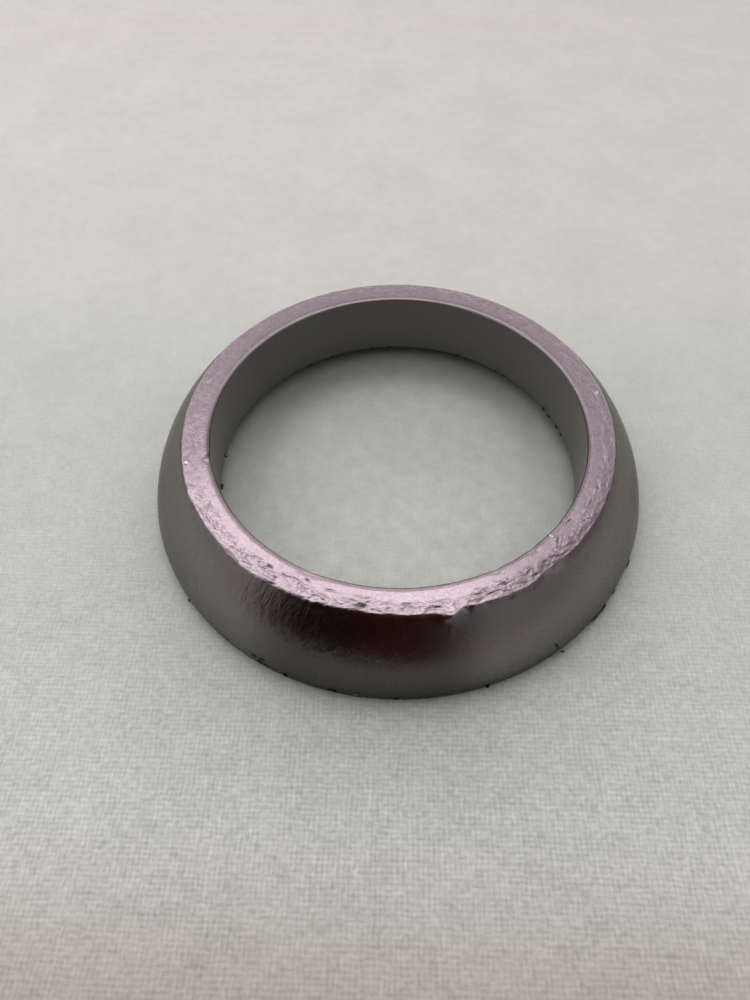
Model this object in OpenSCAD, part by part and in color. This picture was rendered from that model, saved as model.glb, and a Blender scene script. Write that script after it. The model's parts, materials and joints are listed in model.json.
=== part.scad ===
// Conical exhaust pipe seal, one ring pressed from wire mesh filled with graphite.
// It lies on its wide end, centred on the pipe axis, with the nose up.

/* [Bore] */
// Diameter of the hole that slips over the pipe stub
bore_d = 60; // [40:0.5:65]
// Height of the cone that opens the bore at the wide end
lead_h = 2.2; // [0.4:0.1:3]
// Width of that cone, along the base
lead_w = 3.2; // [0.4:0.1:4]
// Radius of the pressed edge at the nose end of the bore
bore_lip_r = 0.2; // [0.1:0.05:0.8]

/* [Ring] */
// Height of the ring along the pipe
ring_h = 13.8; // [8:0.2:18]
// Diameter of the wide end, measured on its upright band
base_d = 81.2; // [74:0.2:95]
// Height of the upright band at the wide end
band_h = 2.2; // [1:0.1:4]
// Radius of the edge between the band and the base
base_edge_r = 0.7; // [0.2:0.1:0.9]

/* [Seat] */
// Diameter at which the seat meets the flat nose face
nose_d = 68.2; // [66:0.2:72]
// Radius of the convex seat, seen in section
seat_r = 24; // [16:0.5:60]
// Radius of the pressed lip between the seat and the nose face
nose_lip_r = 0.5; // [0.2:0.05:1.2]

/* [Worn lip] */
// Depth of the dents in the lips
dent_depth = 0.35; // [0.1:0.05:0.6]
// Width of the long dent, along the nose lip
dent_w = 7; // [4:0.25:9]
// Width of a short nick, along the nose lip
nick_w = 2.6; // [1.4:0.1:4]
// Width of the notch, along the bore's pressed edge
notch_w = 1.8; // [1:0.1:3]

/* [Hidden] */
$fn = 180;

bore_r = bore_d / 2;
base_r = base_d / 2;
nose_r = nose_d / 2;
graphite = [0.36, 0.33, 0.34];

// The seat is an arc from the band's top corner to the nose face's rim.
seat_foot = [base_r, band_h];
seat_top = [nose_r, ring_h];
seat_chord = norm(seat_top - seat_foot);
seat_out = [seat_top.y - seat_foot.y, seat_foot.x - seat_top.x] / seat_chord;
seat_back = sqrt(seat_r * seat_r - seat_chord * seat_chord / 4);
seat_centre = (seat_foot + seat_top) / 2 - seat_out * seat_back;

// The nose lip's round touches the nose face and the seat's arc.
lip_y = ring_h - nose_lip_r;
lip_drop = lip_y - seat_centre.y;
lip_reach = sqrt(pow(seat_r - nose_lip_r, 2) - lip_drop * lip_drop);
lip_centre = [seat_centre.x + lip_reach, lip_y];
lip_tilt = atan2(lip_drop, lip_reach);
lip_out = (90 + lip_tilt) / 2;

// The round at the nose end of the bore
bore_lip_centre = [bore_r + bore_lip_r, ring_h - bore_lip_r];
bore_lip_out = 135;

// Directions round the ring, in degrees, of the long dent, the short nicks and the notch
dent_dir = 261;
nick_dirs = [209.5, 297, 310.5];
notch_dir = 194.5;

// Takes off what lies outside a round of radius r between two directions.
module round_edge(centre, r, from, to) {
  half = (to - from) / 2;
  far = 2.5 * r;
  translate(centre)
    difference() {
      polygon([
        [0, 0],
        far * [cos(from), sin(from)],
        far / cos(half) * [cos(from + half), sin(from + half)],
        far * [cos(to), sin(to)]
      ]);
      circle(r);
    }
}

// Half of the ring's section, in the plane of radius and height
module section() {
  difference() {
    intersection() {
      polygon([
        [bore_r, lead_h],
        [bore_r, ring_h],
        [base_r, ring_h],
        [base_r, 0],
        [bore_r + lead_w, 0]
      ]);
      translate(seat_centre)
        circle(seat_r);
    }
    round_edge(bore_lip_centre, bore_lip_r, 90, 180);
    round_edge([base_r - base_edge_r, base_edge_r], base_edge_r, 270, 360);
    round_edge(lip_centre, nose_lip_r, lip_tilt, 90);
  }
}

// A shallow dish pressed into a round of radius r, width across and dent_depth deep.
// The angle out is the way out of the metal there, in the section.
module lip_dent(centre, r, out, dir, width) {
  ball_r = width * width / (8 * dent_depth) + dent_depth / 2;
  place = centre + (r + ball_r - dent_depth) * [cos(out), sin(out)];
  rotate([0, 0, dir])
    translate([place.x, 0, place.y])
      sphere(ball_r);
}

module seal_ring() {
  color(graphite)
    difference() {
      rotate_extrude()
        section();
      lip_dent(lip_centre, nose_lip_r, lip_out, dent_dir, dent_w);
      for (dir = nick_dirs)
        lip_dent(lip_centre, nose_lip_r, lip_out, dir, nick_w);
      lip_dent(bore_lip_centre, bore_lip_r, bore_lip_out, notch_dir, notch_w);
    }
}

seal_ring();
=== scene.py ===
import json
import math
import bpy
from mathutils import Matrix, Vector


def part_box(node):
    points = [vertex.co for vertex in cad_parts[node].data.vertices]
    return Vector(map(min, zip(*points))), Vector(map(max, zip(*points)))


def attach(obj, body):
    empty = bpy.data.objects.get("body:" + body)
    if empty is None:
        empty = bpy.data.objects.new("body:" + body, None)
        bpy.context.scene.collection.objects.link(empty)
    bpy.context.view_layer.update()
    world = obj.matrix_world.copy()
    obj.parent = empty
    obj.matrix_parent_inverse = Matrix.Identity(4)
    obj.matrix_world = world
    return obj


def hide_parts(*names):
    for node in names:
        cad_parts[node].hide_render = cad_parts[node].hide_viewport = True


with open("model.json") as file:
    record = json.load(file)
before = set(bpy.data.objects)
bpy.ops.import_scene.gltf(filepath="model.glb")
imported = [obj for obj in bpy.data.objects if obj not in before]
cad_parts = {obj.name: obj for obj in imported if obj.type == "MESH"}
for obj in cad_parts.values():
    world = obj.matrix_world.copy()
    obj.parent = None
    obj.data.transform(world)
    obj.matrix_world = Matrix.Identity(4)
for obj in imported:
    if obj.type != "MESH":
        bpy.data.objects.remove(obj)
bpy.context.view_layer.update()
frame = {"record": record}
millimetre = 0.001  # in metres, as the frame and every mesh are
toMillimetres = 1000.0
print("frame loaded")


# A node's output. Maths on it adds the nodes, so that an expression reads as Python.
class Wire:
    def __init__(self, tree, socket):
        self.tree = tree
        self.socket = socket

    def math(self, operation, *others):
        return self.tree.add("ShaderNodeMath", {"operation": operation}, [self, *others])

    def mathAfter(self, operation, first):
        return self.tree.add("ShaderNodeMath", {"operation": operation}, [first, self])

    def __add__(self, other):
        return self.math("ADD", other)

    def __radd__(self, other):
        return self.mathAfter("ADD", other)

    def __sub__(self, other):
        return self.math("SUBTRACT", other)

    def __rsub__(self, other):
        return self.mathAfter("SUBTRACT", other)

    def __mul__(self, other):
        return self.math("MULTIPLY", other)

    def __rmul__(self, other):
        return self.mathAfter("MULTIPLY", other)

    def __truediv__(self, other):
        return self.math("DIVIDE", other)

    def __rtruediv__(self, other):
        return self.mathAfter("DIVIDE", other)

    def __pow__(self, other):
        return self.math("POWER", other)

    def __rpow__(self, other):
        return self.mathAfter("POWER", other)


# A node tree, for a material, the world or geometry.
class Tree:
    def __init__(self, nodeTree):
        self.nodeTree = nodeTree

    def add(self, kind, settings=None, values=None, out=0):
        node = self.nodeTree.nodes.new(kind)
        for name, setting in (settings or {}).items():
            setattr(node, name, setting)
        pairs = values.items() if isinstance(values, dict) else enumerate(values or [])
        for key, value in pairs:
            if isinstance(value, Wire):
                self.nodeTree.links.new(value.socket, node.inputs[key])
            elif value is not None:
                node.inputs[key].default_value = value
        return Wire(self, node.outputs[out]) if node.outputs else None

    def vector(self, x, y, z):
        return self.add("ShaderNodeCombineXYZ", {}, [x, y, z])

    def parts(self, vector):
        node = self.add("ShaderNodeSeparateXYZ", {}, [vector]).socket.node
        return [Wire(self, node.outputs[i]) for i in range(3)]

    def vectorMath(self, operation, *values, out=0):
        return self.add("ShaderNodeVectorMath", {"operation": operation}, list(values), out)

    def dot(self, first, second):
        return self.vectorMath("DOT_PRODUCT", first, second, out="Value")

    def scaled(self, vector, factor):
        names = {"Vector": vector, "Scale": factor}
        return self.add("ShaderNodeVectorMath", {"operation": "SCALE"}, names)

    def step(self, value, low, high):  # 0 below low, 1 above high, and smooth between
        names = {"Value": value, "From Min": low, "From Max": high}
        return self.add("ShaderNodeMapRange", {"interpolation_type": "SMOOTHSTEP"}, names)

    def noise(self, vector, scale=1.0, detail=2.0, roughness=0.5):
        names = {"Vector": vector, "Scale": scale, "Detail": detail, "Roughness": roughness}
        return self.add("ShaderNodeTexNoise", {"noise_dimensions": "3D"}, names)

    def noiseColour(self, vector, scale):
        names = {"Vector": vector, "Scale": scale, "Detail": 2.0}
        return self.add("ShaderNodeTexNoise", {"noise_dimensions": "3D"}, names, "Color")

    def cells(self, vector):  # the distance from the middle of the nearest random cell
        return self.add("ShaderNodeTexVoronoi", {"feature": "F1"}, {"Vector": vector, "Scale": 1.0})

    def mixColour(self, factor, first, second, blend="MIX"):
        settings = {"data_type": "RGBA", "blend_type": blend, "clamp_factor": True}
        return self.add("ShaderNodeMix", settings, {0: factor, 6: first, 7: second}, 2)

    def shaded(self, colour, tone):  # a colour times a number
        return self.mixColour(1.0, colour, self.vector(tone, tone, tone), "MULTIPLY")

    def ramp(self, value, rows):  # colours at values, with smooth steps between them
        colour = opaque(rows[0][1])
        for (before, first), (after, second) in zip(rows, rows[1:]):
            colour = self.mixColour(self.step(value, before, after), colour, opaque(second))
        return colour

    def bump(self, value, middle, width):  # 1 at the middle, falling off over the width
        return math.e ** (((value - middle) / width) ** 2.0 * -1.0)

    def facing(self, way, heading, full, none, height=0.0):  # 1 within full degrees of it, 0 beyond none
        h, v = math.radians(heading), math.radians(height)
        aim = (math.cos(h) * math.cos(v), math.sin(h) * math.cos(v), math.sin(v))
        return self.step(self.dot(way, aim), math.cos(math.radians(none)), math.cos(math.radians(full)))

    def towards(self, side, azimuth, width):  # 1 towards that azimuth, falling off over width degrees
        way = (math.cos(math.radians(azimuth)), math.sin(math.radians(azimuth)), 0.0)
        gap = 1.0 - self.dot(side, way)
        return math.e ** (gap * (-2.0 / math.radians(width) ** 2))


def newMaterial(name):
    material = bpy.data.materials.new(name)
    material.use_nodes = True
    material.node_tree.nodes.clear()
    return material, Tree(material.node_tree)


def finishMaterial(tree, shader):
    tree.add("ShaderNodeOutputMaterial", {}, {"Surface": shader})


def opaque(colour, share=1.0):
    return tuple(c * share for c in colour) + (1.0,)


def polar(azimuth, radius, height):
    turn = math.radians(azimuth)
    return Vector((radius * math.cos(turn), radius * math.sin(turn), height))


# Camera, at the photograph's angle. Its place is in metres from the middle of the ring's base.
camera = {
    "back": 0.07985,
    "up": 0.1036,
    "pitch": 54.24,
    "yaw": -2.75,
    "roll": -1.32,
    "sensorWidth": 36.0,
    "focalShare": 0.751,
    "nearest": 0.005,
    "farthest": 20.0,
}


def addCamera():
    data = bpy.data.cameras.new("camera")
    data.sensor_width = camera["sensorWidth"]
    data.lens = camera["focalShare"] * camera["sensorWidth"]
    data.clip_start = camera["nearest"]
    data.clip_end = camera["farthest"]
    cam = bpy.data.objects.new("camera", data)
    bpy.context.scene.collection.objects.link(cam)
    turn = Matrix.Rotation(math.radians(-camera["yaw"]), 4, "Z")
    tip = Matrix.Rotation(math.radians(90.0 - camera["pitch"]), 4, "X")
    roll = Matrix.Rotation(math.radians(camera["roll"]), 4, "Z")
    cam.matrix_world = Matrix.Translation((0, -camera["back"], camera["up"])) @ turn @ tip @ roll
    bpy.context.scene.camera = cam


addCamera()
bpy.context.scene.view_settings.view_transform = "Standard"
print("camera placed")


# The sky gives soft light, most of it from behind. A quarter of it is (heading, brightness low down,
# brightness halfway up), and a soft box is (heading, height, half width, brightness). A heading is in
# degrees, anticlockwise from the right. A fade, here and below, is (where it starts, where it ends).
sky = {
    "quarters": [(90.0, 3.30, 1.47), (180.0, 0.46, 1.32), (270.0, 0.31, 0.02), (0.0, 0.38, 0.84)],
    "quarterFade": (30.0, 60.0),
    "lowFade": (25.0, 35.0),
    "middleFade": (55.0, 65.0),
    "top": 1.36,
    "topFade": (-0.25, 0.25),  # in the direction's y
    "softBoxes": [(80.0, 61.0, 9.0, 2.4), (102.0, 61.0, 9.0, 1.0), (122.0, 54.0, 10.0, 2.1)],
    "boxFade": (0.65, 1.35),  # in half widths
    "tint": (1.0, 0.98, 1.0),
}


def addWorld():
    world = bpy.data.worlds.new("studio")
    world.use_nodes = True
    world.node_tree.nodes.clear()
    bpy.context.scene.world = world
    tree = Tree(world.node_tree)
    way = tree.add("ShaderNodeTexCoord", out="Generated")
    x, y, z = tree.parts(way)
    flat = tree.vectorMath("NORMALIZE", tree.vector(x, y, 0.0))
    height = z.math("ARCSINE") * math.degrees(1.0)
    aboveLow = tree.step(height, *sky["lowFade"])
    aboveMiddle = tree.step(height, *sky["middleFade"])
    low = 1.0 - aboveLow
    middle = aboveLow * (1.0 - aboveMiddle)
    light = aboveMiddle * tree.step(y, *sky["topFade"]) * sky["top"]
    for heading, lowShare, middleShare in sky["quarters"]:
        quarter = tree.facing(flat, heading, *sky["quarterFade"])
        light = light + quarter * (low * lowShare + middle * middleShare)
    for heading, tilt, half, share in sky["softBoxes"]:
        full, none = (half * end for end in sky["boxFade"])
        light = light + tree.facing(way, heading, full, none, tilt) * share
    colour = tree.shaded(opaque(sky["tint"]), light)
    shader = tree.add("ShaderNodeBackground", {}, {"Color": colour, "Strength": 1.0})
    tree.add("ShaderNodeOutputWorld", {}, {"Surface": shader})


def flatMesh(name, corners):
    mesh = bpy.data.meshes.new(name)
    mesh.from_pydata(corners, [], [(0, 1, 2, 3)])
    piece = bpy.data.objects.new(name, mesh)
    bpy.context.scene.collection.objects.link(piece)
    return piece


# A pale cloth is the floor. Its colours go from the front to the back, in metres from the pipe axis, and so
# do the back fade and the front fade, past which the weave is softer. The colours hold painted light and
# shade on the cloth's own tint: a dark painted band far in front, and paler cloth towards the back. The
# cloth is also painted darker towards the right. The inside of the ring, the painted shade under it and
# the rows of painted shade go by their radius in millimetres. A row of painted shade is (where it starts,
# where it is full, share).
cloth = {
    "size": 3.0,
    # the cloth's tint with painted light and shade: dark far in front, paler at the back
    "colours": [(-0.150, (0.50, 0.508, 0.465)), (-0.105, (0.372, 0.339, 0.287)),
                (-0.085, (0.372, 0.339, 0.287)), (-0.056, (0.512, 0.518, 0.474)),
                (-0.030, (0.50, 0.516, 0.468)), (0.015, (0.50, 0.516, 0.468)),
                (0.056, (0.56, 0.56, 0.52)), (0.105, (0.58, 0.57, 0.535)), (0.18, (0.58, 0.56, 0.53))],
    # painted shade: the cloth darker towards the right
    "shadeToRight": 0.5,
    "threadPitch": 0.00067,
    "weave": 0.048,
    "wobble": 6.0,
    "wobbleScale": 260.0,
    "slub": 0.56,
    "slubScale": 1900.0,
    "slubStretch": 0.45,
    "blotch": 0.36,
    "blotchScale": 330.0,
    "drift": 0.16,
    "driftScale": 60.0,
    "backFade": (-0.085, 0.10),
    "backWeave": 0.10,
    "backBlotch": 0.4,
    "frontFade": (-0.095, -0.055),
    "frontWeave": 0.6,
    "insideFade": (28.0, 38.0),
    "insideWeave": 0.5,
    "insideBlotch": 1.7,
    "underFade": (36.0, 38.5),
    # painted shade inside and under the ring
    "paintedShadeRows": [(20.0, 26.0, 0.09), (28.0, 32.0, 0.38)],
    "roughness": 0.95,
    "specular": 0.2,
}


def between(mask, inside, outside=1.0):  # inside where the mask is 1, and outside where it is 0
    return mask * (inside - outside) + outside


def threads(tree, place, x, y):
    wobble = tree.noise(place, cloth["wobbleScale"]) * cloth["wobble"]
    turns = math.tau / cloth["threadPitch"]
    warp = (x * turns + wobble).math("SINE")
    weft = (y * turns + wobble).math("SINE")
    # short thick places in the threads, along and across
    stretch = cloth["slubStretch"]
    thickWarp = tree.noise(tree.vector(x * stretch, y, 0.0), cloth["slubScale"])
    thickWeft = tree.noise(tree.vector(x, y * stretch, 1.0), cloth["slubScale"])
    return (warp + weft) * cloth["weave"] + (thickWarp + thickWeft - 1.0) * cloth["slub"]


def addFloor():
    half = cloth["size"] / 2
    floor = flatMesh("floor", [(-half, -half, 0), (half, -half, 0), (half, half, 0), (-half, half, 0)])
    material, tree = newMaterial("floorCloth")
    place = tree.add("ShaderNodeTexCoord", out="Object")
    x, y = tree.parts(place)[:2]
    radius = tree.vectorMath("LENGTH", tree.vector(x, y, 0.0), out="Value") * toMillimetres
    inside = 1.0 - tree.step(radius, *cloth["insideFade"])
    sharp = 1.0 - tree.step(y, *cloth["backFade"])
    sharp = between(sharp * sharp, 1.0, cloth["backWeave"])
    front = between(tree.step(y, *cloth["frontFade"]), 1.0, cloth["frontWeave"])
    weave = threads(tree, place, x, y) * sharp * between(inside, cloth["insideWeave"]) * front
    blotch = (tree.noise(place, cloth["blotchScale"], 3.0, 0.6) - 0.5) * cloth["blotch"]
    blotch = blotch * between(sharp, 1.0, cloth["backBlotch"]) * between(inside, cloth["insideBlotch"])
    drift = (tree.noise(place, cloth["driftScale"]) - 0.5) * cloth["drift"]
    # painted shade: the cloth darker towards the right
    tone = (weave + blotch + drift + 1.0) * (1.0 - x * cloth["shadeToRight"])
    # painted shade on the cloth, growing from inside the ring to under its base
    under = 1.0 - tree.step(radius, *cloth["underFade"])
    for nearest, farthest, depth in cloth["paintedShadeRows"]:
        tone = tone * (1.0 - tree.step(radius, nearest, farthest) * under * depth)
    # the cloth's tint with painted light and shade, from front to back
    colour = tree.shaded(tree.ramp(y, cloth["colours"]), tone)
    shader = tree.add("ShaderNodeBsdfPrincipled", {}, {
        "Base Color": colour, "Roughness": cloth["roughness"], "Specular IOR Level": cloth["specular"]})
    finishMaterial(tree, shader)
    floor.data.materials.append(material)


# A dark card stands in front, where only reflections see it. It glows dimly in its colours, a painted
# dark reflection on the ring's front. Its sizes are in metres, its sides and top fade out, and its colours
# go from left to right.
shadeCard = {
    "left": -0.102,
    "right": 0.040,
    "front": -0.088,
    "height": 0.110,
    "fade": 0.026,
    "colours": [(-0.102, (0.20, 0.07, 0.06)), (-0.080, (0.13, 0.042, 0.036)),
                (-0.056, (0.036, 0.013, 0.011)), (-0.040, (0.018, 0.005, 0.004)),
                (-0.030, (0.022, 0.007, 0.006)), (-0.008, (0.125, 0.022, 0.016)),
                (0.035, (0.13, 0.035, 0.026))],
}


def addCard():
    left, right, front = shadeCard["left"], shadeCard["right"], shadeCard["front"]
    top, fade = shadeCard["height"], shadeCard["fade"]
    card = flatMesh("shadeCard", [(left, front, 0), (right, front, 0),
                                  (right, front, top), (left, front, top)])
    material, tree = newMaterial("shadeCard")
    x, y, z = tree.parts(tree.add("ShaderNodeTexCoord", out="Object"))
    solid = tree.step(x, left, left + fade) * (1.0 - tree.step(x, right - fade, right))
    solid = solid * (1.0 - tree.step(z, top - fade, top))
    clear = tree.add("ShaderNodeBsdfTransparent")
    colour = tree.ramp(x, shadeCard["colours"])
    # the card's dim glow, a painted reflection
    dark = tree.add("ShaderNodeEmission", {}, {"Color": colour, "Strength": 1.0})
    finishMaterial(tree, tree.add("ShaderNodeMixShader", {}, {0: solid, 1: clear, 2: dark}))
    card.data.materials.append(material)
    card.visible_camera = False
    card.visible_diffuse = False
    card.visible_shadow = False


addWorld()
addFloor()
addCard()
print("floor and lights placed")


# The ring's section, in metres. It is taken from the frame, and the seat and the lips have sizes of
# their own. The closing gap goes from the section's last point to its first, which the grid joins.
record = frame["record"]
bore = next(m for m in record["mounts"] if m["name"] == "pipe_bore")
low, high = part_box("seal_ring")
ring = {
    "boreRadius": bore["dims"]["r_mm"] * millimetre,
    "baseRadius": (high.x - low.x) / 2,
    "height": high.z - low.z,
    "noseRadius": 0.0341,
    "bandHeight": 0.0022,
    "baseEdge": 0.0007,
    "leadHeight": 0.0022,
    "leadWidth": 0.0032,
    "leadEdge": 0.00015,
    "boreLip": 0.0002,
    "noseLip": 0.0005,
    "seatRadius": 0.024,
    "closingGap": 0.00005,
    "stepsRound": 1000,
    "steps": {"lead": 2, "leadEdge": 2, "bore": 8, "boreLip": 5, "nose": 40, "noseLip": 7, "seat": 26,
              "band": 2, "baseEdge": 2, "base": 1},
}


def arc(centre, radius, start, end, steps):
    turn = [math.radians(start + (end - start) * i / steps) for i in range(1, steps + 1)]
    return [(centre[0] + radius * math.cos(t), centre[1] + radius * math.sin(t)) for t in turn]


def line(start, end, steps):
    return [tuple(Vector(start).lerp(Vector(end), i / steps)) for i in range(1, steps + 1)]


def rounded(before, corner, after, radius, steps):  # a corner's round, from its first point to its last
    back, on = (before - corner).normalized(), (after - corner).normalized()
    half = back.angle(on) / 2
    middle = corner + (back + on).normalized() * radius / math.sin(half)
    start = corner + back * radius / math.tan(half) - middle
    end = corner + on * radius / math.tan(half) - middle
    return [tuple(middle + start.lerp(end, i / steps).normalized() * radius) for i in range(steps + 1)]


def sectionPoints():
    r, steps = ring, ring["steps"]
    foot = Vector((r["baseRadius"], r["bandHeight"]))
    top = Vector((r["noseRadius"], r["height"]))
    chord = top - foot
    out = Vector((chord.y, -chord.x)).normalized()
    seatCentre = (foot + top) / 2 - out * math.sqrt(r["seatRadius"] ** 2 - chord.length_squared / 4)
    lipDrop = r["height"] - r["noseLip"] - seatCentre.y
    lipReach = math.sqrt((r["seatRadius"] - r["noseLip"]) ** 2 - lipDrop ** 2)
    lipCentre = Vector((seatCentre.x + lipReach, r["height"] - r["noseLip"]))
    lipTilt = math.degrees(math.atan2(lipDrop, lipReach))
    footTilt = math.degrees(math.atan2(foot.y - seatCentre.y, foot.x - seatCentre.x))
    leadFoot = Vector((r["boreRadius"] + r["leadWidth"], 0))
    leadTop = Vector((r["boreRadius"], r["leadHeight"]))
    leadEdge = rounded(leadFoot, leadTop, Vector((r["boreRadius"], r["height"])), r["leadEdge"],
                       steps["leadEdge"])
    points = [tuple(leadFoot)] + line(leadFoot, leadEdge[0], steps["lead"]) + leadEdge[1:]
    points += line(points[-1], (r["boreRadius"], r["height"] - r["boreLip"]), steps["bore"])
    points += arc((r["boreRadius"] + r["boreLip"], r["height"] - r["boreLip"]), r["boreLip"],
                  180, 90, steps["boreLip"])
    noseStart = len(points) - 1
    points += line(points[-1], (lipCentre.x, r["height"]), steps["nose"])
    points += arc(lipCentre, r["noseLip"], 90, lipTilt, steps["noseLip"])
    points += arc(seatCentre, r["seatRadius"], lipTilt, footTilt, steps["seat"])
    points += line(points[-1], (r["baseRadius"], r["baseEdge"]), steps["band"])
    points += arc((r["baseRadius"] - r["baseEdge"], r["baseEdge"]), r["baseEdge"], 0, -90,
                  steps["baseEdge"])
    points += line(points[-1], (leadFoot.x + r["closingGap"], 0), steps["base"])
    return points, noseStart


# The mesh carries each point's run, which is its way along the section from the bore's lip.
def sectionMesh(points, noseStart):
    count = len(points)
    mesh = bpy.data.meshes.new("section")
    edges = [(i, i + 1) for i in range(count - 1)]
    mesh.from_pydata([(x, 0, z) for x, z in points], edges, [])
    runs = [0.0]
    for i in range(1, count):
        runs.append(runs[-1] + (Vector(points[i]) - Vector(points[i - 1])).length)
    along = mesh.attributes.new("run", "FLOAT", "POINT")
    along.data.foreach_set("value", [s - runs[noseStart] for s in runs])
    return mesh


# Wear of the pressed surface. Lengths are in millimetres, and azimuths in degrees, anticlockwise from the
# right as seen from above. The run goes along the section from the bore's lip, and past is the run beyond
# the nose's rim. A band is (middle, width), a side (azimuth, degrees off it where it starts to fade,
# degrees off it where it ends), a sector (azimuth, width, strength if not 1), and a mark (azimuth, radius,
# half length, half width, turn, strength). A size is (length, width), and the length goes round the ring,
# or down the seat in drag marks.
wear = {
    "middleRadius": 33.0,
    "noseInner": (0.0, 0.4),
    "noseOuter": (-0.1, 0.6),
    "backSide": (90.0, 60.0, 100.0),
    "rightSide": (342.0, 40.0, 62.0),
    "roughSectors": [(222.0, 20.0, 0.55), (240.0, 14.0, 0.35), (266.0, 17.0, 0.60), (308.0, 26.0, 0.80)],
    "roughElsewhere": 0.30,
    "roughStart": 1.3,
    "roughWander": 3.0,
    "wanderScale": 0.3,
    "swellSize": (3.0, 1.3),
    "swellHeight": 0.06,
    "ridgeSize": (2.2, 0.5),
    "ridgeWander": 4.0,
    "ridgeHeight": 0.11,
    "layerSize": (2.6, 1.0),
    "layerWander": 5.0,
    "layerCount": 11.0,
    "layerEdge": (0.25, 0.75),
    "layerHeight": 0.030,
    "tearSize": (1.6, 0.8),
    "tearSpread": (0.46, 0.60),
    "tearEdge": (0.05, 0.22),
    "tearDepth": 0.03,
    "crumpleSize": (1.5, 0.75),
    "crumpleWander": 3.0,
    "crumpleShake": 0.8,
    "crumpleMiddle": 0.45,
    "crumpleElsewhere": 0.12,
    "crumpleHeight": 0.10,
    "grainScale": 2.4,
    "grainHeight": 0.045,
    "marksAbove": (9.0, 11.0),
    "markShake": 0.55,
    "shakeScale": 2.2,
    "pitDepth": 0.18,
    "pits": [(232.3, 32.1, 0.50, 0.13, 70.0, 0.7), (234.6, 32.2, 0.40, 0.12, 50.0, 0.6),
             (237.2, 32.05, 0.50, 0.24, 8.0, 1.0), (241.7, 32.1, 0.55, 0.10, -8.0, 0.5),
             (244.8, 31.85, 0.80, 0.09, 6.0, 0.45), (247.5, 31.3, 0.42, 0.17, -4.0, 0.9),
             (254.0, 31.75, 0.80, 0.15, 6.0, 0.45), (201.0, 31.85, 0.25, 0.15, 30.0, 0.35),
             (210.5, 31.9, 0.25, 0.20, 0.0, 0.45), (305.2, 33.5, 0.28, 0.20, 0.0, 0.9),
             (297.4, 32.6, 0.20, 0.45, 0.0, 0.8), (325.8, 32.7, 0.28, 0.20, 20.0, 0.8),
             (323.6, 31.0, 0.50, 0.13, -20.0, 0.9), (337.4, 32.4, 0.45, 0.18, 20.0, 0.8),
             (347.1, 32.4, 0.48, 0.14, 0.0, 0.4), (309.4, 32.8, 0.35, 0.16, 0.0, 0.7),
             (297.1, 34.5, 0.60, 0.26, 0.0, 0.9), (302.6, 34.8, 0.90, 0.22, 0.0, 0.9),
             (209.4, 34.4, 0.55, 0.26, 0.0, 0.9), (286.6, 34.2, 0.50, 0.25, 0.0, 0.6),
             (291.6, 34.3, 0.50, 0.22, 0.0, 0.6), (317.0, 31.6, 1.10, 0.08, 35.0, 0.6),
             (283.5, 30.4, 0.75, 0.10, 0.0, 0.5), (293.0, 33.1, 1.2, 0.08, 4.0, 0.6)],
    "speckHeight": 0.12,
    "specks": [(316.5, 30.6, 0.16, 0.50, 0.0, 1.0), (327.5, 32.9, 0.18, 0.18, 0.0, 1.0),
               (327.0, 33.5, 0.18, 0.18, 0.0, 1.0), (314.6, 33.3, 0.40, 0.22, 0.0, 0.8),
               (311.3, 32.4, 0.22, 0.18, 0.0, 0.7), (323.2, 32.9, 0.40, 0.18, 0.0, 0.6),
               (12.2, 33.2, 0.35, 0.20, 0.0, 0.8), (2.8, 33.0, 0.35, 0.16, 0.0, 0.6),
               (282.3, 35.8, 0.16, 0.22, 0.0, 0.8), (195.2, 33.5, 0.35, 0.50, 0.0, 1.0),
               (297.7, 32.85, 0.14, 0.14, 0.0, 0.8), (283.0, 33.5, 0.60, 0.45, 0.0, 0.6)],
    "rimBand": (0.1, 0.9),
    "borderScale": 8.0,
    "borderWander": 0.22,
    "borderShifts": [(261.5, 7.5, -0.20), (282.4, 2.3, 0.62), (310.5, 3.2, -0.25), (285.5, 1.5, -0.15),
                     (204.0, 7.0, 0.15), (233.0, 5.0, 0.22), (300.0, 5.0, 0.28)],
    "rimRidge": 0.10,
    "rimRidgeBand": (-0.30, 0.20),
    "rimGrooveBand": (-0.80, 0.26),
    "rimRidgeSectors": [(226.0, 17.0), (265.0, 9.0)],
    "brokenScale": 9.0,
    "brokenSpread": (0.42, 0.60),
    "rolledLip": 0.13,
    "rolledSectors": [(306.0, 16.0), (335.0, 22.0)],
    "tongue": 0.30,
    "tongueSector": (283.0, 2.3),
    "tongueBand": (0.7, 0.9),
    "boreLipNicks": [(194.6, 1.3, 0.28), (247.0, 4.5, 0.14), (297.5, 1.0, 0.16), (309.5, 1.2, 0.14),
                     (321.5, 5.0, 0.10)],
    "nickBand": (0.05, 0.5),
    "boreBurr": 0.29,
    "boreBurrRight": 0.12,
    "burrBand": (-0.1, 0.45),
    "burrScale": 11.0,
    "boreLipWander": 0.10,
    "lipDrop": 0.40,
    "lipDropBehind": 0.28,
    "dropFade": (0.5, -0.3),
    "dropEnd": (-1.6, -0.3),
    "seatTop": (0.3, 1.2),
    "seatFoot": (2.2, 5.0),
    "dragMiddle": 246.0,
    "dragLean": 0.22,
    "streakSize": (2.4, 0.62),
    "streakHeight": 0.22,
    "streakSectors": [(238.0, 7.0), (250.0, 9.0), (268.0, 10.0, 0.30), (288.0, 8.0, 0.40)],
    "rippleScale": 0.16,
    "seatRipple": 0.05,
}


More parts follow.
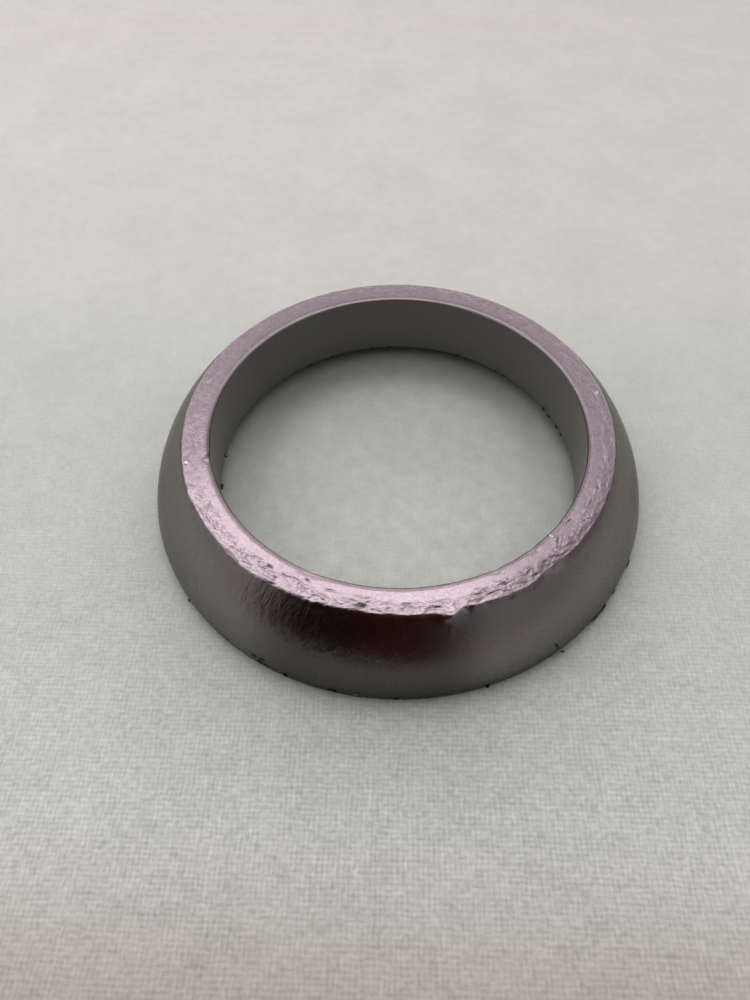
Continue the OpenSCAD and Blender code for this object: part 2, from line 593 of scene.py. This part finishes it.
def geometryTree(name, inputs):
    nodeTree = bpy.data.node_groups.new(name, "GeometryNodeTree")
    face = nodeTree.interface
    face.new_socket("Geometry", in_out="OUTPUT", socket_type="NodeSocketGeometry")
    face.new_socket("Geometry", in_out="INPUT", socket_type="NodeSocketGeometry")
    for label, kind in inputs.items():
        face.new_socket(label, in_out="INPUT", socket_type=kind)
    tree = Tree(nodeTree)
    group = nodeTree.nodes.new("NodeGroupInput")
    return tree, {s.name: Wire(tree, s) for s in group.outputs if s.name}


def finishTree(tree, geometry):
    output = tree.nodeTree.nodes.new("NodeGroupOutput")
    tree.nodeTree.links.new(geometry.socket, output.inputs[0])


def runTree(name, start, tree, values):
    holder = bpy.data.objects.new(name + "Start", start)
    bpy.context.scene.collection.objects.link(holder)
    modifier = holder.modifiers.new("nodes", "NODES")
    modifier.node_group = tree.nodeTree
    for item in tree.nodeTree.interface.items_tree:
        if item.item_type == "SOCKET" and item.in_out == "INPUT" and item.name in values:
            modifier[item.identifier] = values[item.name]
    ready = holder.evaluated_get(bpy.context.evaluated_depsgraph_get())
    mesh = bpy.data.meshes.new_from_object(ready)
    mesh.name = name
    holder.modifiers.remove(modifier)
    bpy.data.objects.remove(holder)
    piece = bpy.data.objects.new(name, mesh)
    bpy.context.scene.collection.objects.link(piece)
    return piece


def attribute(tree, name):
    return tree.add("GeometryNodeInputNamedAttribute", {"data_type": "FLOAT"}, {"Name": name})


def store(tree, geometry, name, value):
    settings = {"data_type": "FLOAT", "domain": "POINT"}
    names = {"Geometry": geometry, "Name": name, "Value": value}
    return tree.add("GeometryNodeStoreNamedAttribute", settings, names)


# A grid is wrapped round the axis, each row of it along the section. It goes round clockwise, so that its
# faces look out of the metal.
def spunSection(tree, inputs):
    around, along = inputs["Steps Round"], inputs["Steps Along"]
    grid = tree.add("GeometryNodeMeshGrid", {}, {"Size X": 1.0, "Size Y": 1.0,
                                                 "Vertices X": around + 1, "Vertices Y": along + 1})
    u, v = tree.parts(tree.add("GeometryNodeInputPosition"))[:2]
    turn = (0.5 - u) * math.tau
    row = ((v + 0.5) * along).math("ROUND").math("MODULO", along)

    def sampled(kind, value):
        settings = {"data_type": kind, "domain": "POINT"}
        return tree.add("GeometryNodeSampleIndex", settings,
                        {"Geometry": inputs["Geometry"], "Value": value, "Index": row})

    radius, zero, height = tree.parts(sampled("FLOAT_VECTOR", tree.add("GeometryNodeInputPosition")))
    place = tree.vector(radius * turn.math("COSINE"), radius * turn.math("SINE"), height)
    kept = store(tree, grid, "run", sampled("FLOAT", attribute(tree, "run")))
    spun = tree.add("GeometryNodeSetPosition", {}, {"Geometry": kept, "Position": place})
    return tree.add("GeometryNodeMergeByDistance", {}, {"Geometry": spun, "Distance": 1e-6})


# What the wear and the finish read at a point of the ring, in millimetres
class Skin:
    def __init__(self, tree, place, run, rimRun):
        self.tree = tree
        self.place = tree.scaled(place, toMillimetres)
        x, y, self.z = tree.parts(self.place)
        self.flat = tree.vector(x, y, 0.0)
        self.side = tree.vectorMath("NORMALIZE", self.flat)
        self.sideX, self.sideY = tree.parts(self.side)[:2]
        self.run = run * toMillimetres
        self.past = self.run - rimRun * toMillimetres
        self.behind = tree.facing(self.side, *wear["backSide"])

    def spot(self, length, width, shift=0.0):  # a place in a noise that is long round the ring
        stretch = wear["middleRadius"] / length
        return self.tree.vector(self.sideX * stretch, self.sideY * stretch, self.run / width + shift)

    def dragSpot(self, length, width):  # along and across the drag marks, which lean a little
        middle = math.radians(wear["dragMiddle"])
        sideways = self.tree.dot(self.flat, (-math.sin(middle), math.cos(middle), 0.0))
        across = sideways + self.past * wear["dragLean"]
        return self.tree.vector(across / width, self.past / length, 0.0)

    def sectors(self, rows):
        total = 0.0
        for azimuth, width, *strength in rows:
            toward = self.tree.towards(self.side, azimuth, width)
            total = toward * (strength[0] if strength else 1.0) + total
        return total


# Pits or specks. The shake makes their outlines ragged.
def marks(tree, skin, shake, rows):
    shaken = tree.vectorMath("ADD", skin.flat, tree.scaled(shake, wear["markShake"]))
    total = 0.0
    for azimuth, radius, length, width, turn, strength in rows:
        t = math.radians(azimuth + 90.0 + turn)
        gap = tree.vectorMath("SUBTRACT", shaken, polar(azimuth, radius, 0.0))
        along = tree.dot(gap, (math.cos(t) / length, math.sin(t) / length, 0.0))
        across = tree.dot(gap, (-math.sin(t) / width, math.cos(t) / width, 0.0))
        mark = math.e ** ((along * along + across * across) * -1.0) * strength
        total = mark.math("MAXIMUM", total)
    return total * tree.step(skin.z, *wear["marksAbove"])


# The nose's face: its height, and the masks that the finish reads
def noseWear(tree, skin):
    drift = tree.noise(skin.place, wear["wanderScale"]) - 0.5
    shake = tree.vectorMath("SUBTRACT", tree.noiseColour(skin.place, wear["shakeScale"]), (0.5, 0.5, 0.5))
    onNose = tree.step(skin.run, *wear["noseInner"]) * (1.0 - tree.step(skin.past, *wear["noseOuter"]))
    torn = skin.sectors(wear["roughSectors"]) + wear["roughElsewhere"]
    start = drift * wear["roughWander"] + wear["roughStart"]
    rough = tree.step(skin.run - start, 0.0, 1.0) * torn * onNose
    swell = (tree.noise(skin.spot(*wear["swellSize"]), detail=1.0) - 0.5) * wear["swellHeight"]
    ridgeSpot = skin.spot(*wear["ridgeSize"], drift * wear["ridgeWander"])
    ridge = (tree.noise(ridgeSpot) - 0.5) * wear["ridgeHeight"]
    # torn layers of foil, as steps between the heights of a slow noise
    layerSpot = skin.spot(*wear["layerSize"], drift * wear["layerWander"])
    level = tree.noise(layerSpot, detail=3.0) * wear["layerCount"]
    rest = level.math("FRACT")
    layer = level - rest + tree.step(rest, *wear["layerEdge"]) - wear["layerCount"] / 2
    tear = (1.0 - tree.step((rest - 0.5).math("ABSOLUTE"), *wear["tearEdge"])) * rough
    tear = tear * tree.step(tree.noise(skin.spot(*wear["tearSize"]), detail=1.0), *wear["tearSpread"])
    crumpleSpot = skin.spot(*wear["crumpleSize"], drift * wear["crumpleWander"])
    crumpleSpot = tree.vectorMath("ADD", crumpleSpot, tree.scaled(shake, wear["crumpleShake"]))
    crumple = tree.cells(crumpleSpot) - wear["crumpleMiddle"]
    crumple = crumple * (rough + onNose * wear["crumpleElsewhere"]) * wear["crumpleHeight"]
    grain = (tree.noise(skin.place, wear["grainScale"]) - 0.5) * wear["grainHeight"]
    pit = marks(tree, skin, shake, wear["pits"])
    speck = marks(tree, skin, shake, wear["specks"])
    height = swell * onNose + (ridge + layer * wear["layerHeight"] + grain) * rough
    height = height + crumple - pit * wear["pitDepth"]
    height = height + speck * wear["speckHeight"] - tear * wear["tearDepth"]
    return height, {"rough": rough, "tear": tear, "pit": pit, "speck": speck}


# The nose's rim: how far it stands out of the surface, and how far it goes sideways
def rimWear(tree, skin):
    rim = tree.bump(skin.past, *wear["rimBand"])
    wander = (tree.noise(skin.side, wear["borderScale"], 4.0) - 0.5) * wear["borderWander"]
    ridge = tree.bump(skin.past, *wear["rimRidgeBand"]) - tree.bump(skin.past, *wear["rimGrooveBand"])
    broken = tree.step(tree.noise(skin.side, wear["brokenScale"], 3.0), *wear["brokenSpread"])
    ridge = ridge * skin.sectors(wear["rimRidgeSectors"]) * broken * wear["rimRidge"]
    rolled = skin.sectors(wear["rolledSectors"]) * rim * wear["rolledLip"]
    tongue = tree.towards(skin.side, *wear["tongueSector"]) * tree.bump(skin.past, *wear["tongueBand"])
    height = ridge - rolled + tongue * wear["tongue"]
    return height, (wander + skin.sectors(wear["borderShifts"])) * rim


# The bore's lip: the depth of its nicks, the burr that stands into the bore, and how far it drops
def boreLipWear(tree, skin):
    nick = skin.sectors(wear["boreLipNicks"]) * tree.bump(skin.run, *wear["nickBand"])
    wander = (tree.noise(skin.side, wear["burrScale"], 3.0) - 0.5) * wear["boreLipWander"]
    right = tree.facing(skin.side, *wear["rightSide"])
    burr = wander + between(right, wear["boreBurrRight"], wear["boreBurr"])
    burr = burr * tree.bump(skin.run, *wear["burrBand"])
    first, last = wear["dropFade"]
    drop = tree.add("ShaderNodeMapRange", {}, {"Value": skin.run, "From Min": first, "From Max": last})
    drop = drop * drop * tree.step(skin.run, *wear["dropEnd"])
    return nick, burr, drop * between(skin.behind, wear["lipDropBehind"], wear["lipDrop"])


# Drag marks down the seat, and its slow ripple
def seatWear(tree, skin):
    streak = tree.noise(skin.dragSpot(*wear["streakSize"]), detail=4.0, roughness=0.62) - 0.5
    streak = streak * skin.sectors(wear["streakSectors"]) * wear["streakHeight"]
    ripple = (tree.noise(skin.place, wear["rippleScale"], 1.0) - 0.5) * wear["seatRipple"]
    onSeat = tree.step(skin.past, *wear["seatTop"]) * tree.step(skin.z, *wear["seatFoot"])
    return (streak + ripple) * onSeat


# The wear moves the closed ring's surface along its normals, and the lips sideways and down.
def wornRing(tree, inputs, closed):
    position = tree.add("GeometryNodeInputPosition")
    skin = Skin(tree, position, attribute(tree, "run"), inputs["Rim Run"])
    nose, masks = noseWear(tree, skin)
    rim, border = rimWear(tree, skin)
    nick, burr, drop = boreLipWear(tree, skin)
    height = nose + rim - nick + seatWear(tree, skin)
    push = tree.scaled(tree.add("GeometryNodeInputNormal"), height * millimetre)
    pull = tree.scaled(skin.side, (border - burr) * millimetre)
    down = tree.vector(0.0, 0.0, drop * -millimetre)
    offset = tree.vectorMath("ADD", tree.vectorMath("ADD", push, pull), down)
    marked = closed
    for label, value in masks.items():
        marked = store(tree, marked, label, value)
    return tree.add("GeometryNodeSetPosition", {}, {"Geometry": marked, "Offset": offset})


def ringTree():
    tree, inputs = geometryTree("wornRing", {
        "Steps Round": "NodeSocketInt", "Steps Along": "NodeSocketInt",
        "Rim Run": "NodeSocketFloat", "Finish": "NodeSocketMaterial"})
    worn = wornRing(tree, inputs, spunSection(tree, inputs))
    smooth = tree.add("GeometryNodeSetShadeSmooth", {}, {"Geometry": worn, "Shade Smooth": True})
    real = tree.add("GeometryNodeRealizeInstances", {}, {"Geometry": smooth})
    finished = tree.add("GeometryNodeSetMaterial", {}, {"Geometry": real, "Material": inputs["Finish"]})
    finishTree(tree, finished)
    return tree


# The finish. Its fades and bands go by the run, by past or by the height, in millimetres, or by a noise. A
# side shading is painted light or shade on one side of the seat, below a height: (azimuth, degrees off it
# where it starts to fade, degrees off it where it ends, height where it starts to fade, height where it
# ends, share). A range is two shares of a colour.
graphite = {
    "seat": (0.207, 0.190, 0.176),
    "seatRange": (0.90, 1.10),
    # painted reflection: the seat's foot tinted green, as the cloth below it
    "footReflectionTint": (0.95, 1.0, 0.95),
    "footFade": (2.5, 5.0),
    # painted shade: the seat darker on its front
    "frontShade": 0.50,
    "frontSide": (264.0, 13.0, 29.0),
    # painted light and shade on some sides of the seat
    "paintedSideShading": [(300.0, 22.0, 45.0, 2.5, 4.5, 0.85), (0.0, 6.0, 22.0, 7.5, 10.5, 0.56),
                  (180.0, 6.0, 22.0, 7.0, 10.0, 0.62), (208.0, 10.0, 34.0, 20.0, 21.0, 1.12),
                  (338.0, 8.0, 30.0, 20.0, 21.0, 1.12)],
    "nose": (0.172, 0.137, 0.151),
    "noseRange": (0.88, 1.08),
    "noseInner": (-0.1, 0.1),
    "noseOuter": 0.7,
    "rolledSide": (308.0, 13.0, 31.0),
    "rolledShift": 0.3,
    "rolledFade": 0.5,
    "speckleSpread": (0.3, 0.7),
    "blotchTone": 0.62,
    "blotchShare": 0.5,
    "blotchSpread": (0.54, 0.72),
    # painted light: the nose paler on its front
    "paintedFrontLight": 1.46,
    "paintedLightSide": (249.0, 32.0, 60.0),
    # painted shade: the nose's inner strip darker at the back
    "backLipShade": 0.80,
    "innerFade": (0.3, 1.1),
    "bore": (0.155, 0.151, 0.140),
    "boreFade": (-0.3, 0.0),
    "coneTone": 0.90,
    "coneFade": (-11.9, -11.6),
    # dark in tears and pits: partly their own colour, partly painted shade in the recesses
    "tear": (0.085, 0.062, 0.068),
    "tearShare": 0.75,
    "tearFade": (-0.8, -0.2),
    "pitFade": (0.15, 0.9),
    # painted shade: a dark line on the bore's lip, at the front only
    "lip": (0.045, 0.034, 0.036),
    "lipBand": (-0.10, 0.27),
    # pale specks on raised flakes: partly their own pale colour, partly painted glint
    "speck": (0.46, 0.40, 0.42),
    "speckShare": 0.6,
    "speckFade": (0.3, 0.8),
    "mottleScale": 0.7,
    "speckleScale": 3.2,
    "blotchScale": 1.1,
    "seatRoughness": 0.27,
    "noseRoughness": 0.24,
    "boreRoughness": 0.55,
    "mottleRoughness": 0.10,
    "tearRoughness": 0.2,
    "boreMetal": 0.2,
    "edgeTint": (0.66, 0.65, 0.65, 1.0),
    "speckleBump": 0.6,
    "mottleBump": 0.4,
    "foilBump": 0.9,
    "foilScale": 40.0,
    "foilWidth": 0.26,
    "dragBump": 2.4,
    "dragSize": (1.5, 0.26),
    "dragSide": (250.0, 13.0, 28.0),
    "dragTop": (0.3, 1.5),
    "dragFoot": (2.6, 5.0),
    "bumpStrength": 0.4,
    "bumpDistance": 0.00008,
}


def stored(tree, name):  # a value kept on the mesh
    return tree.add("ShaderNodeAttribute", {"attribute_name": name}, {}, "Fac")


def ranged(tree, factor, colour, shares):  # from one share of a colour to another
    first, second = shares
    return tree.mixColour(factor, opaque(colour, first), opaque(colour, second))


def seatColour(tree, skin, mottle):
    colour = ranged(tree, mottle, graphite["seat"], graphite["seatRange"])
    # painted reflection of the green cloth on the seat's foot
    foot = 1.0 - tree.step(skin.z, *graphite["footFade"])
    colour = tree.mixColour(foot, colour, opaque(graphite["footReflectionTint"]), "MULTIPLY")
    # painted shade: the seat darker on its front
    tone = between(tree.facing(skin.side, *graphite["frontSide"]), graphite["frontShade"])
    # painted light and shade on some sides of the seat
    for azimuth, full, none, lowest, highest, sideShading in graphite["paintedSideShading"]:
        low = 1.0 - tree.step(skin.z, lowest, highest)
        tone = tone * between(tree.facing(skin.side, azimuth, full, none) * low, sideShading)
    return tree.shaded(colour, tone)


def noseColour(tree, skin, speckle):
    speckled = tree.step(speckle, *graphite["speckleSpread"])
    colour = ranged(tree, speckled, graphite["nose"], graphite["noseRange"])
    blotch = tree.noise(skin.place, graphite["blotchScale"], 3.0, 0.65)
    blotch = tree.step(blotch, *graphite["blotchSpread"]) * graphite["blotchShare"]
    colour = tree.mixColour(blotch, colour, opaque(graphite["nose"], graphite["blotchTone"]))
    # painted light: the nose paler towards its front
    frontLit = between(tree.facing(skin.side, *graphite["paintedLightSide"]), graphite["paintedFrontLight"])
    # painted shade: the nose's inner strip darker at the back
    shadedBackLip = skin.behind * (1.0 - tree.step(skin.run, *graphite["innerFade"]))
    return tree.shaded(colour, frontLit * between(shadedBackLip, graphite["backLipShade"]))


def bumpHeight(tree, skin, nose, mottle, speckle):
    scale = graphite["foilScale"]
    foilSpot = tree.vector(skin.sideX * scale, skin.sideY * scale, skin.run / graphite["foilWidth"])
    foil = tree.noise(foilSpot, detail=3.0, roughness=0.6) * stored(tree, "rough")
    drag = tree.noise(skin.dragSpot(*graphite["dragSize"]))
    drag = drag * tree.facing(skin.side, *graphite["dragSide"])
    drag = drag * tree.step(skin.past, *graphite["dragTop"]) * tree.step(skin.z, *graphite["dragFoot"])
    fine = speckle * graphite["speckleBump"] + mottle * graphite["mottleBump"]
    return (fine + foil * graphite["foilBump"]) * nose + drag * graphite["dragBump"]


def graphiteMaterial(rimRun):
    material, tree = newMaterial("pressedGraphite")
    skin = Skin(tree, tree.add("ShaderNodeTexCoord", out="Object"), stored(tree, "run"), rimRun)
    mottle = tree.noise(skin.place, graphite["mottleScale"], 4.0, 0.6)
    speckle = tree.noise(skin.place, graphite["speckleScale"], 3.0, 0.6)
    rolled = tree.facing(skin.side, *graphite["rolledSide"])
    outer = tree.step(skin.past - rolled * graphite["rolledShift"], 0.0,
                      rolled * graphite["rolledFade"] + graphite["noseOuter"])
    nose = tree.step(skin.run, *graphite["noseInner"]) * (1.0 - outer)
    inBore = 1.0 - tree.step(skin.run, *graphite["boreFade"])
    onCone = 1.0 - tree.step(skin.run, *graphite["coneFade"])
    # dark in tears and pits: partly their own colour, partly painted shade in the recesses
    torn = stored(tree, "tear") * (1.0 - tree.step(skin.past, *graphite["tearFade"]))
    pitted = tree.step(stored(tree, "pit"), *graphite["pitFade"])
    dark = pitted.math("MAXIMUM", torn * graphite["tearShare"])
    # painted shade: a dark line on the bore's lip, at the front only
    paintedLipShade = tree.bump(skin.run, *graphite["lipBand"]) * (1.0 - skin.behind)
    # pale specks on raised flakes: partly their own pale colour, partly painted glint
    speck = tree.step(stored(tree, "speck"), *graphite["speckFade"]) * graphite["speckShare"]
    bore = ranged(tree, onCone, graphite["bore"], (1.0, graphite["coneTone"]))
    colour = tree.mixColour(nose, seatColour(tree, skin, mottle), noseColour(tree, skin, speckle))
    colour = tree.mixColour(inBore, colour, bore)
    for name, factor in (("tear", dark), ("lip", paintedLipShade), ("speck", speck)):
        colour = tree.mixColour(factor, colour, opaque(graphite[name]))
    rough = between(nose, graphite["noseRoughness"], graphite["seatRoughness"])
    rough = rough + inBore * (graphite["boreRoughness"] - graphite["seatRoughness"])
    rough = rough + (mottle - 0.5) * graphite["mottleRoughness"] + dark * graphite["tearRoughness"]
    normal = tree.add("ShaderNodeBump", {}, {
        "Strength": graphite["bumpStrength"], "Distance": graphite["bumpDistance"],
        "Height": bumpHeight(tree, skin, nose, mottle, speckle)})
    shader = tree.add("ShaderNodeBsdfPrincipled", {}, {
        "Base Color": colour, "Metallic": between(inBore, graphite["boreMetal"]), "Roughness": rough,
        "Normal": normal, "Specular Tint": graphite["edgeTint"]})
    finishMaterial(tree, shader)
    return material


def buildRing():
    points, noseStart = sectionPoints()
    section = sectionMesh(points, noseStart)
    rimIndex = noseStart + ring["steps"]["nose"] + ring["steps"]["noseLip"] // 2
    rimRun = section.attributes["run"].data[rimIndex].value
    values = {"Steps Round": ring["stepsRound"], "Steps Along": len(points), "Rim Run": rimRun,
              "Finish": graphiteMaterial(rimRun)}
    piece = runTree("pressedRing", section, ringTree(), values)
    print("ring built:", len(piece.data.vertices), "points,", len(piece.data.polygons), "faces")
    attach(piece, "root")
    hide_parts("seal_ring")


# Thin pressing flash, still fixed to the base edge and to the foot of the bore. A sliver is (azimuth,
# radius, height) of each end and its half thickness, in degrees and millimetres.
flash = {
    "slivers": [
        (305.4, 40.54, 3.45, 307.0, 40.84, 0.55, 0.17), (306.9, 40.80, 0.60, 307.9, 41.10, 0.20, 0.11),
        (317.1, 40.66, 0.75, 319.2, 40.64, 0.55, 0.22), (318.8, 40.72, 0.50, 321.9, 40.76, 0.40, 0.13),
        (321.4, 40.68, 0.40, 322.9, 40.66, 0.40, 0.17), (325.4, 40.64, 0.50, 327.2, 40.68, 0.50, 0.10),
        (333.6, 40.70, 0.60, 336.1, 40.78, 0.50, 0.18), (289.0, 40.70, 0.75, 289.8, 40.72, 0.70, 0.20),
        (218.3, 40.66, 0.60, 219.1, 40.66, 0.50, 0.16), (238.9, 40.62, 2.30, 242.9, 40.58, 2.60, 0.13),
        (240.4, 40.66, 1.50, 243.2, 40.66, 1.45, 0.11), (247.0, 40.70, 1.45, 248.1, 40.70, 1.10, 0.14),
        (256.5, 40.70, 1.25, 258.7, 40.70, 1.35, 0.13), (262.2, 40.68, 1.60, 263.6, 40.68, 1.70, 0.09),
        (270.0, 40.68, 1.00, 271.4, 40.68, 1.05, 0.08), (187.6, 29.78, 2.15, 190.0, 29.90, 2.15, 0.28),
        (174.4, 29.90, 2.15, 176.6, 29.80, 2.15, 0.32), (123.4, 29.82, 2.20, 125.0, 29.92, 2.20, 0.12),
        (115.0, 29.92, 2.15, 116.2, 29.92, 2.15, 0.10), (99.1, 29.92, 2.20, 100.5, 29.92, 2.20, 0.12),
        (92.8, 29.90, 2.25, 94.0, 29.90, 2.25, 0.10), (66.6, 29.80, 2.30, 68.6, 29.86, 2.30, 0.20),
        (63.7, 29.92, 2.15, 65.3, 29.92, 2.15, 0.11), (50.8, 29.92, 2.30, 52.6, 29.82, 2.30, 0.18),
        (47.4, 29.88, 2.15, 49.6, 29.96, 2.15, 0.13), (26.7, 29.60, 2.45, 28.7, 30.04, 2.45, 0.18),
        (23.6, 29.94, 2.20, 25.4, 29.80, 2.20, 0.16), (18.2, 29.86, 2.30, 19.8, 29.86, 2.30, 0.20),
        (14.7, 29.92, 2.20, 16.3, 29.92, 2.20, 0.14)],
    "crumbs": 46,
    "crumbRadius": 29.95,
    "crumbHeight": 2.18,
    "crumbSpread": 0.08,
    "crumbSize": 0.055,
    "crumbLength": (0.8, 2.6),  # in crumb sizes, as the width is
    "crumbWidth": (0.6, 1.3),
    "seed": 4,
    "subdivisions": 3,
    "raggedness": 0.22,
    "raggedScale": 3.0,
    "colour": (0.050, 0.046, 0.044),
    "paleColour": (0.30, 0.27, 0.26),
    "paleScale": 1.3,
    "paleSpread": (0.60, 0.66),
    "roughness": 0.5,
}


def flashStarts():
    mesh = bpy.data.meshes.new("flashStarts")
    places, sizes, turns = [], [], []
    for row in flash["slivers"]:
        start, end, half = polar(*row[:3]), polar(*row[3:6]), row[6]
        way = end - start
        places.append(tuple((start + end) / 2))
        sizes.append((way.length / 2, half, half))
        turns.append((0.0, -math.asin(way.z / way.length), math.atan2(way.y, way.x)))
    mesh.from_pydata(places, [], [])
    for label, values in (("size", sizes), ("turn", turns)):
        kept = mesh.attributes.new(label, "FLOAT_VECTOR", "POINT")
        kept.data.foreach_set("vector", [part for value in values for part in value])
    return mesh


def flashTree():
    tree, inputs = geometryTree("flash", {
        "Crumbs": "NodeSocketInt", "Seed": "NodeSocketInt", "Radius": "NodeSocketFloat",
        "Height": "NodeSocketFloat", "Size": "NodeSocketFloat", "Raggedness": "NodeSocketFloat",
        "Finish": "NodeSocketMaterial"})
    ball = {"Radius": 1.0, "Subdivisions": flash["subdivisions"]}
    grain = tree.add("GeometryNodeMeshIcoSphere", {}, ball)

    def held(name):
        return tree.add("GeometryNodeInputNamedAttribute", {"data_type": "FLOAT_VECTOR"}, {"Name": name})

    def random(low, high, shift):
        values = {2: low, 3: high, "Seed": inputs["Seed"] + shift}
        return tree.add("FunctionNodeRandomValue", {"data_type": "FLOAT"}, values, 1)

    slivers = tree.add("GeometryNodeInstanceOnPoints", {}, {
        "Points": inputs["Geometry"], "Instance": grain, "Rotation": held("turn"), "Scale": held("size")})
    turn = random(0.0, math.tau, 1)
    radius = inputs["Radius"]
    place = tree.vector(radius * turn.math("COSINE"), radius * turn.math("SINE"),
                        inputs["Height"] + random(-flash["crumbSpread"], flash["crumbSpread"], 2))
    points = tree.add("GeometryNodePoints", {}, {"Count": inputs["Crumbs"], "Position": place})
    width = flash["crumbWidth"]
    size = tree.vector(random(*flash["crumbLength"], 3), random(*width, 4), random(*width, 5))
    crumbs = tree.add("GeometryNodeInstanceOnPoints", {}, {
        "Points": points, "Instance": grain, "Rotation": tree.vector(0.0, 0.0, turn + math.pi / 2),
        "Scale": tree.scaled(size, inputs["Size"])})
    joined = tree.add("GeometryNodeJoinGeometry")
    for part in (slivers, crumbs):
        tree.nodeTree.links.new(part.socket, joined.socket.node.inputs[0])
    real = tree.add("GeometryNodeRealizeInstances", {}, {"Geometry": joined})
    spot = tree.add("GeometryNodeInputPosition")
    shake = tree.vectorMath("SUBTRACT", tree.noiseColour(spot, flash["raggedScale"]), (0.5, 0.5, 0.5))
    rough = tree.add("GeometryNodeSetPosition", {}, {
        "Geometry": real, "Offset": tree.scaled(shake, inputs["Raggedness"])})
    sized = tree.add("GeometryNodeTransform", {}, {"Geometry": rough, "Scale": (millimetre,) * 3})
    finished = tree.add("GeometryNodeSetMaterial", {}, {"Geometry": sized, "Material": inputs["Finish"]})
    finishTree(tree, finished)
    return tree


def flashMaterial():
    material, tree = newMaterial("darkFlash")
    inMm = tree.scaled(tree.add("ShaderNodeTexCoord", out="Object"), toMillimetres)
    pale = tree.step(tree.noise(inMm, flash["paleScale"]), *flash["paleSpread"])
    colour = tree.mixColour(pale, opaque(flash["colour"]), opaque(flash["paleColour"]))
    finishMaterial(tree, tree.add("ShaderNodeBsdfPrincipled", {}, {
        "Base Color": colour, "Metallic": 1.0, "Roughness": flash["roughness"]}))
    return material


def buildFlash():
    values = {"Crumbs": flash["crumbs"], "Seed": flash["seed"], "Radius": flash["crumbRadius"],
              "Height": flash["crumbHeight"], "Size": flash["crumbSize"],
              "Raggedness": flash["raggedness"], "Finish": flashMaterial()}
    piece = runTree("pressingFlash", flashStarts(), flashTree(), values)
    print("flash built:", len(piece.data.polygons), "faces")
    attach(piece, "root")


buildRing()
buildFlash()
